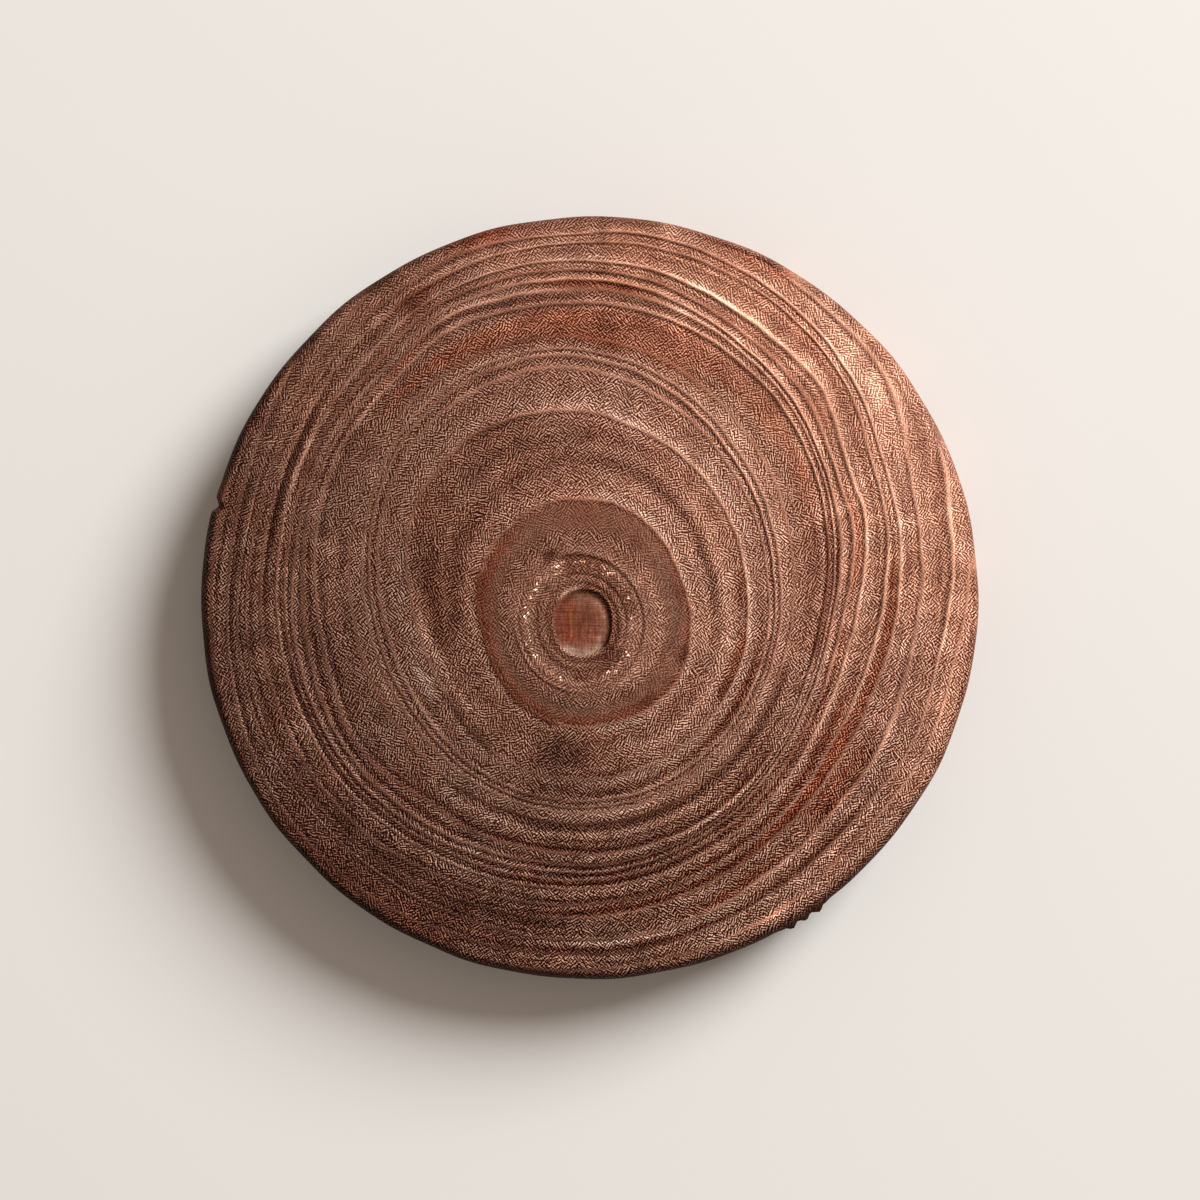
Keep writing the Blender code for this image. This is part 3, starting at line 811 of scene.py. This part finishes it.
side_mask = smooth_step((reach - (rim - SIDE_FADE * RIM_ROUND)) / (SIDE_FADE * RIM_ROUND))
side_mask[:face_count] = 0.0
side_mask[face_count + ROUND_ROWS:] = 1.0
side_mask[face_count + side_count - 1:] = 0.0
under_mask = np.zeros_like(reach)
under_mask[face_count + side_count - 1:] = 1.0
from_bark = np.abs(turn_from(directions, BARK_DIRECTION))
bark_mask = smooth_step((BARK_HALF_WIDTH + BARK_MARGIN - from_bark) / BARK_FADE)
bark_mask = bark_mask * ((height > BARK_BOTTOM) & (height < BARK_TOP) & (side_mask > BARK_ON_SIDE))
keep_value("ring", rings)
keep_value("tone", tone)
keep_value("red", red)
keep_value("crest", crest_line)
keep_value("side", side_mask)
keep_value("under", under_mask)
keep_value("bark", bark_mask)
print("stored:", ", ".join(attribute.name for attribute in mesh.attributes if attribute.name[0] != "."))

# %% [markdown]
# ## A map for the finish
#
# This map lays the slice's finish out on one square picture. The face deserves most
# of it, so the face gets a large disc, the side a strip along the top, and the underside a small
# disc in the corner.

# %% The corners of the mesh's faces
for old in list(mesh.uv_layers):
    mesh.uv_layers.remove(old)
uv_map = mesh.uv_layers.new(name="OFBake")
loop_point = np.empty(len(mesh.loops), dtype=int)
mesh.loops.foreach_get("vertex_index", loop_point)
loop_start = np.empty(len(mesh.polygons), dtype=int)
loop_count = np.empty(len(mesh.polygons), dtype=int)
mesh.polygons.foreach_get("loop_start", loop_start)
mesh.polygons.foreach_get("loop_total", loop_count)
loop_face = np.repeat(np.arange(len(mesh.polygons)), loop_count)
loop_row = row_of[loop_point]
face_row = np.minimum.reduceat(loop_row, loop_start)[loop_face]
loop_spoke = spoke_of[loop_point]
loop_turn = directions[loop_spoke]
loop_reach = reach[loop_row, loop_spoke]
loop_reach = np.where((loop_row == 0) | (loop_row == total_rows - 1), 0.0, loop_reach)
print(len(loop_point), "corners")

# %% Lay the face, the side and the underside on the map
# Each spot: middle across, middle up, radius; the strip: bottom and top
FACE_SPOT = (0.43, 0.43, 0.42)
UNDER_SPOT = (0.86, 0.805, 0.125)
STRIP = (0.955, 0.99)
STRIP_START = 0.01
STRIP_LENGTH = 0.98
strip_start = face_count - 1 + ROUND_ROWS // 2
strip_end = face_count + side_count - 1
on_face = face_row < strip_start
on_under = face_row >= strip_end
share = (loop_row - strip_start) / (strip_end - strip_start)
u = STRIP_START + STRIP_LENGTH * loop_spoke / SPOKES
v = STRIP[1] - (STRIP[1] - STRIP[0]) * share
largest = reach.max()
face_u = FACE_SPOT[0] + FACE_SPOT[2] * loop_reach / largest * np.cos(loop_turn)
face_v = FACE_SPOT[1] + FACE_SPOT[2] * loop_reach / largest * np.sin(loop_turn)
under_u = UNDER_SPOT[0] + UNDER_SPOT[2] * loop_reach / largest * np.cos(-loop_turn)
under_v = UNDER_SPOT[1] + UNDER_SPOT[2] * loop_reach / largest * np.sin(-loop_turn)
u = np.where(on_face, face_u, np.where(on_under, under_u, u))
v = np.where(on_face, face_v, np.where(on_under, under_v, v))
uv_map.data.foreach_set("uv", np.stack([u, v], axis=1).ravel())
print("map made for", len(mesh.polygons), "faces")

# %% Close the seam and both middles, and point the faces outward
SEAM_GAP = 0.000002
bpy.ops.object.mode_set(mode="EDIT")
bpy.ops.mesh.select_all(action="SELECT")
bpy.ops.mesh.remove_doubles(threshold=SEAM_GAP)
bpy.ops.mesh.normals_make_consistent(inside=False)
bpy.ops.object.mode_set(mode="OBJECT")
bpy.ops.object.shade_smooth()
triangles = sum(len(face.vertices) - 2 for face in mesh.polygons)
print("closed:", len(mesh.vertices), "points,", triangles, "triangles")

# %% [markdown]
# ## Shader sums written as Python
#
# A wood finish needs many small sums. So that they can be read, one small class wraps the output
# of a node: adding or multiplying two of them adds the Math node for us.

# %% A node's output that can be added and multiplied
class Link:
    """The output of a node. Sums on it add Math nodes to the tree being made."""

    tree = None

    def __init__(self, socket):
        self.socket = socket

    @classmethod
    def node(cls, kind, settings=None, values=None, output=0):
        """Add a node: first its settings, then the values or links of its inputs."""
        made = cls.tree.nodes.new(kind)
        for name, value in (settings or {}).items():
            setattr(made, name, value)
        for name, value in (values or {}).items():
            if isinstance(value, Link):
                cls.tree.links.new(value.socket, made.inputs[name])
            else:
                made.inputs[name].default_value = value
        return cls(made.outputs[output])

    @classmethod
    def sum(cls, operation, *values):
        return cls.node("ShaderNodeMath", {"operation": operation}, dict(enumerate(values)))

    def __add__(self, other):
        return self.sum("ADD", self, other)

    __radd__ = __add__

    def __sub__(self, other):
        return self.sum("SUBTRACT", self, other)

    def __rsub__(self, other):
        return self.sum("SUBTRACT", other, self)

    def __mul__(self, other):
        return self.sum("MULTIPLY", self, other)

    __rmul__ = __mul__

    def exp(self):
        return self.sum("EXPONENT", self)

    def between(self, low, high):
        """0 below the low value, 1 above the high one, and a smooth rise between."""
        return self.node("ShaderNodeMapRange", {"interpolation_type": "SMOOTHSTEP"},
                         {"Value": self, "From Min": low, "From Max": high})


print("the sums can be written as Python now")

# %% [markdown]
# ## The wood finish
#
# The tone and red values set the colour of each place. On top come three finer things. Thin
# streaks run along the rings, because wood cells of one season are alike. The worn surface has a
# fine grain: short pale strokes a millimetre apart, slanted to the left of the ring in some
# places and to the right in others, like a woven basket. And all over lies a very fine speckle.

# %% Coordinates of the finish
wood, wood_shader = plain_material("dark_branch_wood")
Link.tree = wood.node_tree


def stored(name):
    """A value that was stored on the points."""
    settings = {"attribute_type": "GEOMETRY", "attribute_name": name}
    return Link.node("ShaderNodeAttribute", settings, output=2)


def join(x, y, z):
    """One vector from three values."""
    return Link.node("ShaderNodeCombineXYZ", values={"X": x, "Y": y, "Z": z})


ring = stored("ring")
tone_value = stored("tone")
red_value = stored("red")
crest = stored("crest")
side = stored("side")
under = stored("under")
bark = stored("bark")
place = Link.node("ShaderNodeTexCoord", output=3)
centred = Link.node("ShaderNodeMapping", {"vector_type": "POINT"}, {
    "Vector": place,
    "Location": (-pith[0], -pith[1], 0.0),
    "Scale": (1.0 / MM, 1.0 / MM, 1.0 / MM),
})
x = Link.node("ShaderNodeSeparateXYZ", values={0: centred}, output=0)
y = Link.node("ShaderNodeSeparateXYZ", values={0: centred}, output=1)
z = Link.node("ShaderNodeSeparateXYZ", values={0: centred}, output=2)
around = Link.sum("ARCTAN2", y, x)
turn_x = Link.sum("COSINE", around)
turn_y = Link.sum("SINE", around)
flat_place = join(x, y, 0.0)
print("finish reads", len(wood.node_tree.nodes), "nodes so far")

# %% Thin streaks along the rings
def noise(vector, scale, detail=2.0, rough=0.5):
    """Soft noise between 0 and 1."""
    return Link.node("ShaderNodeTexNoise", {"noise_dimensions": "3D"},
                     {"Vector": vector, "Scale": scale, "Detail": detail, "Roughness": rough})


def drawn_out(turns, value, stretch, detail=2.0, rough=0.6):
    """Noise drawn out round the pith: more turns make shorter marks, more stretch thinner ones."""
    return noise(join(turn_x * turns, turn_y * turns, value * stretch), 1.0, detail, rough)


ragged_ring = ring + 0.5 * (noise(flat_place, 0.7, 2.0) - 0.5)
long_streaks = drawn_out(2.2, ragged_ring, 0.55) - 0.5
short_streaks = drawn_out(9.0, ragged_ring, 1.1) - 0.5
clumps = drawn_out(11.0, ragged_ring, 0.24, 3.0) - 0.5
outer_zone = ring.between(52.0, 78.0)
streaks = long_streaks * (0.35 + 1.15 * outer_zone) + short_streaks * (0.35 + 1.05 * outer_zone)
blotches = noise(flat_place, 0.085, 3.0, 0.55) - 0.5
print("streaks along the rings")

# %% The woven grain
# Painted light: the slice gets slowly paler towards the lamp at the upper right and darker to the lower
# left: per millimetre, then per square millimetre
PAINTED_LIGHT_X = 0.0075
PAINTED_LIGHT_Y = 0.0045
PAINTED_LIGHT_XY = 0.000022
PAINTED_LIGHT_YY = 0.000012
GRAIN_SIZE = 1.15
GRAIN_FREQUENCY = 1.3
GRAIN_SLANT = math.radians(42.0)
GRAIN_SWAY = 0.8
GRAIN_LENGTH = 0.9
lean = noise(flat_place, 0.3, 2.0) - 0.5
side_choice = noise(flat_place, 0.25, 2.0).between(0.35, 0.65)


def strokes(angle):
    """Parallel short strokes at an angle to the ring, in radians."""
    return Link.node("ShaderNodeTexGabor", {"gabor_type": "2D"}, {
        "Vector": flat_place,
        "Scale": GRAIN_SIZE,
        "Frequency": GRAIN_FREQUENCY,
        "Anisotropy": GRAIN_LENGTH,
        "Orientation": around + (GRAIN_SWAY * lean + angle),
    })


left_strokes = strokes(GRAIN_SLANT)
right_strokes = strokes(-GRAIN_SLANT)
woven = left_strokes * (1.1 - 0.7 * side_choice) + right_strokes * (0.4 + 0.7 * side_choice) - 0.25
grain = woven.between(0.35, 0.65) - 0.5
grain_patches = 0.55 + 0.9 * drawn_out(7.0, ring, 0.16, rough=0.5)
speckle = noise(flat_place, 1.9, 2.0, 0.6) - 0.5
print("woven grain")

# %% Pale specks round the heart, and lines on the floor of the hollow
STRIPE_LEFT = 2.9
STRIPE_SWAY = 0.6
heart_ring = ring.between(12.5, 14.0) * (1.0 - ring.between(14.8, 16.3))
speck_places = noise(flat_place, 0.16, 1.0).between(0.36, 0.50)
specks = heart_ring * noise(flat_place, 1.0, 1.0).between(0.57, 0.67) * speck_places
plug = 1.0 - ring.between(7.2, 8.2)
upright_lines = noise(join(x * 1.5, y * 0.18, 0.0), 1.0, 2.0, 0.6)
level_lines = noise(join(x * 0.12, y * 3.2, 5.0), 1.0, 2.0, 0.6)
plug_lines = upright_lines + level_lines - 1.0
stripe_place = x + STRIPE_LEFT + STRIPE_SWAY * (noise(flat_place, 0.4, 1.0) - 0.5)
stripe = stripe_place.between(-0.5, 0.0) * (1.0 - stripe_place.between(0.1, 0.5))
stripe = stripe * y.between(-4.5, -3.0) * (1.0 - y.between(2.0, 4.0)) * plug
print("specks and lines")

# %% Where the grain is strong and where it fades
BAND_FADE = 0.6
CREST_FADE = 0.75
PALE_FADE = 0.25
PAINTED_LIGHT_GRAIN_FADE = 0.3
HEART_FADE = 0.4
TOP_FADE = 0.3
smooth_band = ring.between(20.5, 23.0) * (1.0 - ring.between(26.5, 28.5))
heart = 1.0 - ring.between(18.0, 22.0)
# Painted light: a gradient paler towards the lamp at the upper right, darker at the lower left
painted_light_slope = PAINTED_LIGHT_X * x + PAINTED_LIGHT_Y * y + PAINTED_LIGHT_XY * x * y - PAINTED_LIGHT_YY * y * y
grain_strength = grain_patches * (1.0 - BAND_FADE * smooth_band) * (1.0 - plug)
grain_strength = grain_strength * (1.0 - under) * (1.0 - side)
grain_strength = grain_strength * (1.0 - CREST_FADE * crest)
grain_strength = grain_strength * (1.0 - PALE_FADE * tone_value - PAINTED_LIGHT_GRAIN_FADE * painted_light_slope)
grain_strength = grain_strength * (1.0 - HEART_FADE * heart) * (1.0 - TOP_FADE * outer_zone * turn_y)
print("grain strength set")

# %% How light each place is
# Painted light: the top of the outer rings is made lighter and the bottom darker
PAINTED_TOP_LIGHT = 0.14
BLOTCH_LIGHT = 0.35
BARK_DARK = 1.1
STRIPE_LIGHT = 0.5
CLUMP_LIGHT = 1.25
GRAIN_LIGHT = 4.1
SPECKLE_LIGHT = 1.5
FLECK_LIGHT = 0.8
PLUG_LIGHT = 2.2
SPECK_LIGHT = 2.0
FIBRE_LIGHT = 2.2
SAW_LIGHT = 2.0

flecks = drawn_out(26.0, ring, 0.07, 1.0, 0.5) - 0.5
fibres = drawn_out(110.0, z, 0.10, 3.0) - 0.5
saw_marks = noise(join(x * 0.05 + 0.02 * y, y * 1.1 - 0.1 * x, 3.0), 1.0, 3.0, 0.6) - 0.5
light = tone_value + streaks + PAINTED_TOP_LIGHT * outer_zone * turn_y + BLOTCH_LIGHT * blotches
light = light + CLUMP_LIGHT * clumps - BARK_DARK * bark
light = light + FLECK_LIGHT * outer_zone * flecks + PLUG_LIGHT * plug * plug_lines
light = light + SPECK_LIGHT * specks + STRIPE_LIGHT * stripe
light = light + FIBRE_LIGHT * side * fibres + SAW_LIGHT * under * saw_marks
fine_light = SPECKLE_LIGHT * speckle + GRAIN_LIGHT * grain * grain_strength
pale_grain = Link.sum("MAXIMUM", fine_light, 0.0)
dark_grain = fine_light - pale_grain
plain = 1.0 - grain_strength * grain_strength
print("light of each place")

# %% Colour: shares of red, green and blue
# Pale strokes lose some of the wood's red and dark ones are a deeper brown, so each has its shares
MIDDLE_LOG = (-2.09, -3.26, -3.84)
TONE_SHARE = (0.86, 1.03, 1.11)
PALE_SHARE = (0.76, 1.05, 1.16)
DARK_SHARE = (0.74, 1.12, 1.42)
RED_SHARE = (0.62, -0.38, -0.90)
GRAIN_GAIN = (0.28, 0.51, 0.60)
WARM_SHIFT = 0.05
WARM_SLOPE = 0.0006
WARM_PATCHES = 0.25
warm = red_value - WARM_SHIFT - WARM_SLOPE * x
warm = warm + WARM_PATCHES * (noise(flat_place, 0.06, 2.0, 0.5) - 0.5)


def channel(number):
    """One channel of the colour, from the sum of its parts on the log scale."""
    total = TONE_SHARE[number] * light + RED_SHARE[number] * warm
    total = total + PALE_SHARE[number] * pale_grain + DARK_SHARE[number] * dark_grain
    total = total + GRAIN_GAIN[number] * plain
    return (total + painted_light_slope + MIDDLE_LOG[number]).exp()


colour = Link.node("ShaderNodeCombineColor", {"mode": "RGB"},
                   {"Red": channel(0), "Green": channel(1), "Blue": channel(2)})
print("colour from", len(wood.node_tree.nodes), "nodes")

# %% Relief, roughness and the finished material
GRAIN_HIGH = 0.06
SPECKLE_HIGH = 0.03
STREAK_HIGH = 0.04
FIBRE_HIGH = 0.5
SAW_HIGH = 0.15
WOOD_ROUGHNESS = 0.70
GRAIN_SMOOTHER = 0.10
WOOD_SHINE = 0.08
relief = GRAIN_HIGH * grain * grain_strength + SPECKLE_HIGH * speckle + STREAK_HIGH * streaks
relief = relief + FIBRE_HIGH * side * fibres + SAW_HIGH * under * saw_marks
bump = Link.node("ShaderNodeBump", values={"Strength": 1.0, "Distance": MM, "Height": relief})
roughness = WOOD_ROUGHNESS - GRAIN_SMOOTHER * grain
tree = wood.node_tree
tree.links.new(colour.socket, wood_shader.inputs["Base Color"])
tree.links.new(roughness.socket, wood_shader.inputs["Roughness"])
tree.links.new(bump.socket, wood_shader.inputs["Normal"])
wood_shader.inputs["Specular IOR Level"].default_value = WOOD_SHINE
mesh.materials.clear()
mesh.materials.append(wood)
print("wood finish of", len(tree.nodes), "nodes")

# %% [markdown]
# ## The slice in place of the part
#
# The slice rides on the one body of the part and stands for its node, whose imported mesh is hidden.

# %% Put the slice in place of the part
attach(disc, "root")
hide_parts("wood_slice")
